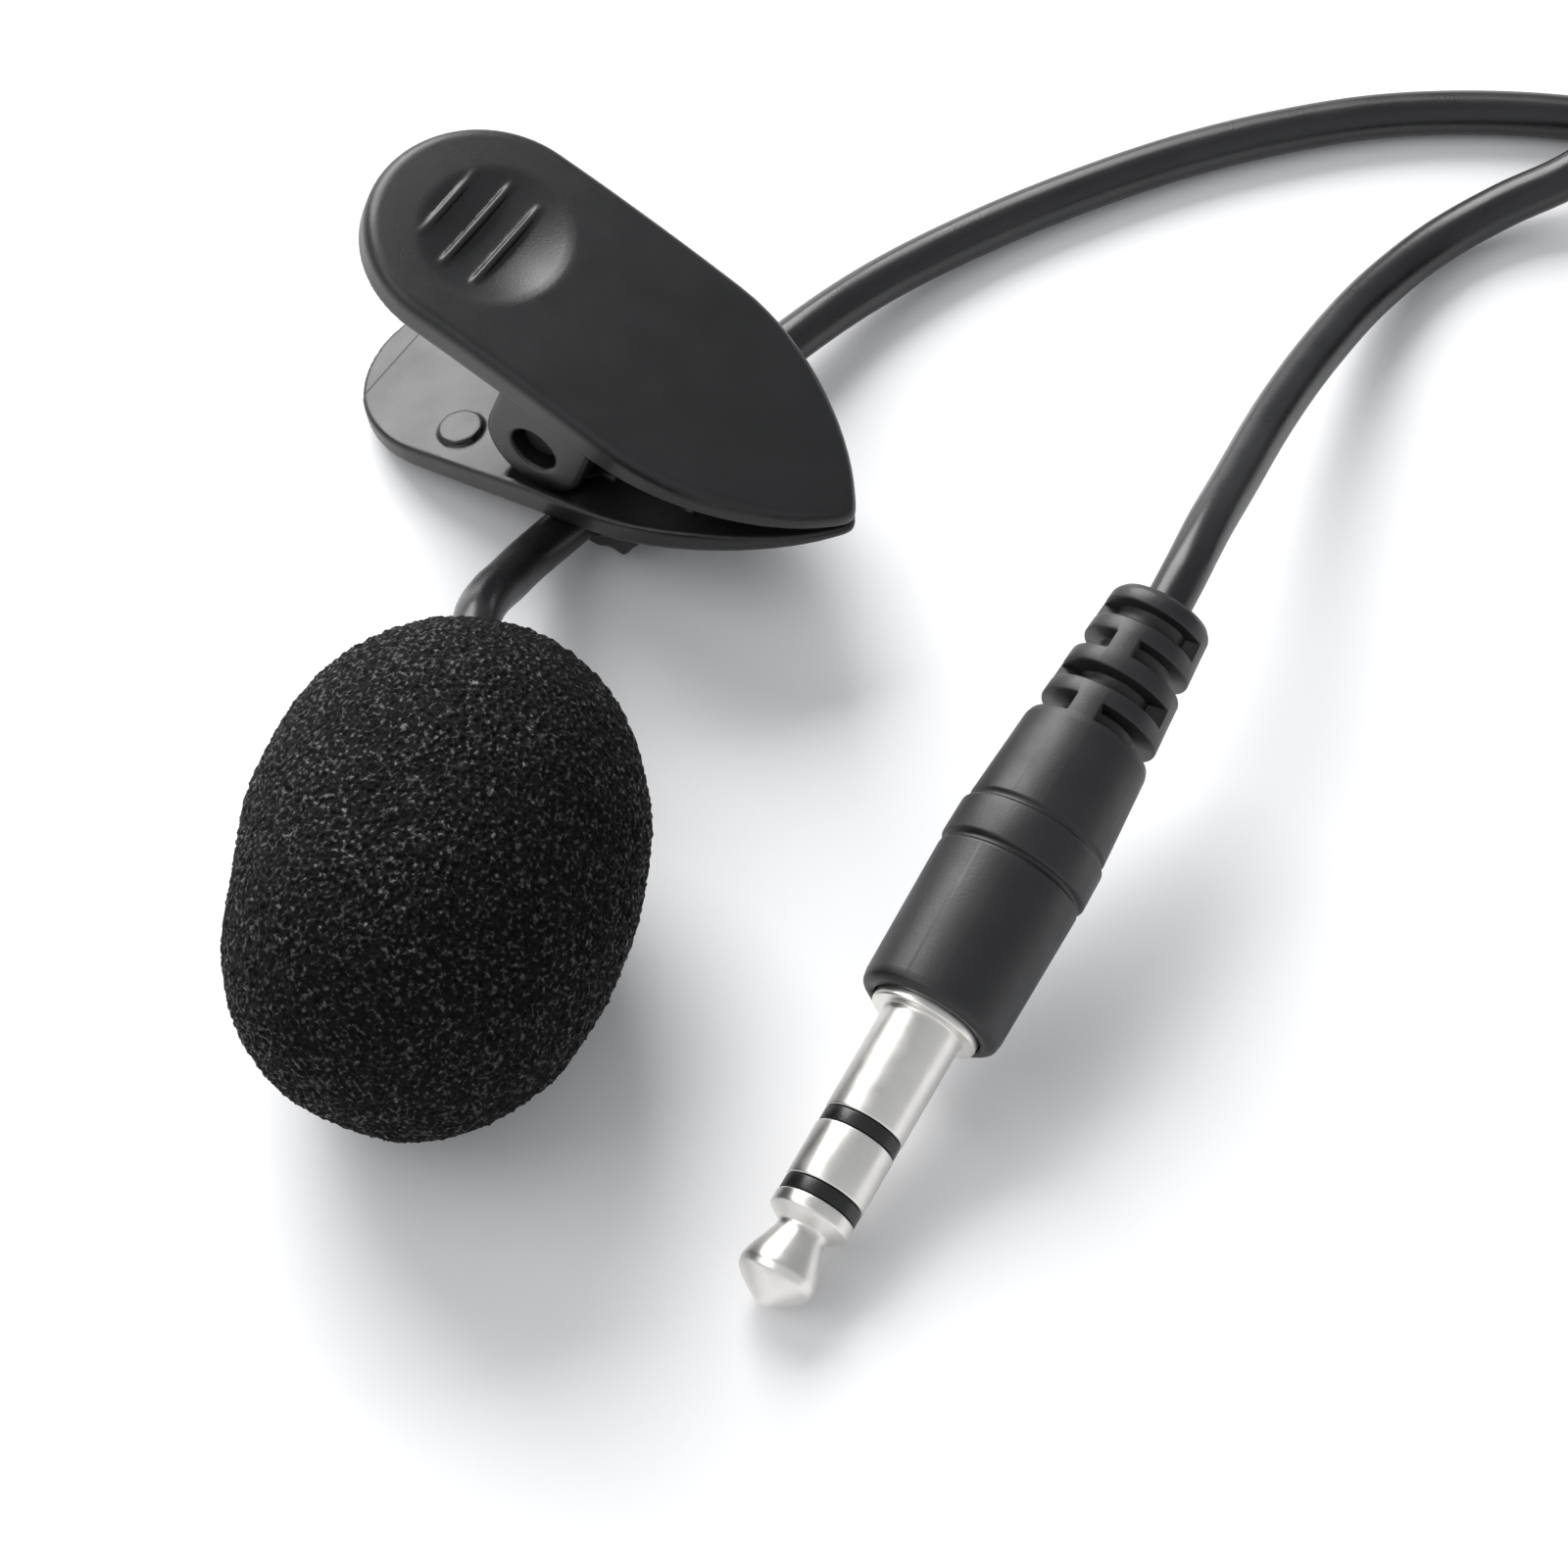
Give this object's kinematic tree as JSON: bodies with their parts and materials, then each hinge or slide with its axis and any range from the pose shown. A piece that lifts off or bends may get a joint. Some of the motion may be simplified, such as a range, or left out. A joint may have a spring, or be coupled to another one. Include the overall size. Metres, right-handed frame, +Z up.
{
  "type": "lavalier microphone",
  "caption": "Clip-on lavalier microphone: a foam-covered electret capsule, a sprung lapel clip with a swivelling lead hook, and a thin lead with a 3.5 mm jack plug.",
  "frame": {"origin": "on the surface that the microphone and its clip lie on, below the middle of the box round the head and the clip (the lead and plug left out)", "axes": "+Z up; +Y runs from the foam head towards the clip; +X to the right, towards the coiled lead"},
  "size_m": [0.1002, 0.0766, 0.0164],
  "materials": {
    "foam": "open-cell acoustic foam, matt",
    "shell_plastic": "moulded, satin",
    "grille_metal": "satin",
    "felt": "felted",
    "can_aluminium": "satin",
    "film": "metallised film",
    "brass": "plain",
    "rubber": "matt",
    "board": "solder resist",
    "chip": "moulded",
    "wire_insulation": "smooth",
    "clip_plastic": "fine satin moulding",
    "spring_steel": "bright drawn wire",
    "cord_pvc": "satin extruded jacket",
    "tie_fabric": "woven hook-and-loop strap",
    "nickel": "bright nickel plate",
    "insulator": "smooth",
    "plug_pvc": "satin moulded"
  },
  "bodies": {
    "microphone": {"capsule_shell": "shell_plastic", "grille_cap": "grille_metal", "acoustic_felt": "felt", "capsule_can": "can_aluminium", "diaphragm": "film", "spacer_ring": "film", "backplate": "brass", "backplate_holder": "rubber", "capsule_board": "board", "capsule_fet": "chip", "capsule_gasket": "rubber", "lead_signal": "wire_insulation", "lead_ground": "brass", "shell_end_cap": "shell_plastic", "cord_gland": "rubber", "cord_lead": "cord_pvc", "cord_coil": "cord_pvc", "cord_tail": "cord_pvc", "coil_tie": "tie_fabric", "plug_tip": "nickel", "plug_insulator_front": "insulator", "plug_ring": "nickel", "plug_insulator_rear": "insulator", "plug_sleeve": "nickel", "plug_tip_insulator": "insulator", "plug_ring_insulator": "insulator", "tip_lug": "brass", "ring_lug": "brass", "ground_crimp": "brass", "plug_body": "plug_pvc"},
    "windscreen": {"foam_windscreen": "foam"},
    "cable_hook": {"cable_hook": "clip_plastic"},
    "lower_lever": {"lower_lever": "clip_plastic", "pivot_pin": "spring_steel", "torsion_spring": "spring_steel"},
    "upper_lever": {"upper_lever": "clip_plastic"}
  },
  "joints": [
    {"name": "windscreen_slide", "type": "slide", "parent": "microphone", "child": "windscreen", "axis": [-0.1045, -0.9945, 0], "range_m": [0, 0.02]},
    {"name": "hook_roll", "type": "hinge", "parent": "microphone", "child": "cable_hook", "pos_m": [0.00364, 0.01338, 0.00195], "axis": [0.6892, 0.7246, 0], "range_deg": [0, 20]},
    {"name": "clip_swivel", "type": "hinge", "parent": "cable_hook", "child": "lower_lever", "pos_m": [0.0034, 0.01354, 0.00319], "axis": [-0.1907, 0.1286, 0.9732], "range_deg": [-30, 12]},
    {"name": "jaw_pivot", "type": "hinge", "parent": "lower_lever", "child": "upper_lever", "pos_m": [0.0017, 0.01469, 0.0062], "axis": [-0.5592, -0.829, 0], "range_deg": [0, 22], "stiffness_Nm_per_rad": 0.02, "springref_deg": -45.84, "deforming": ["torsion_spring"]}
  ]
}
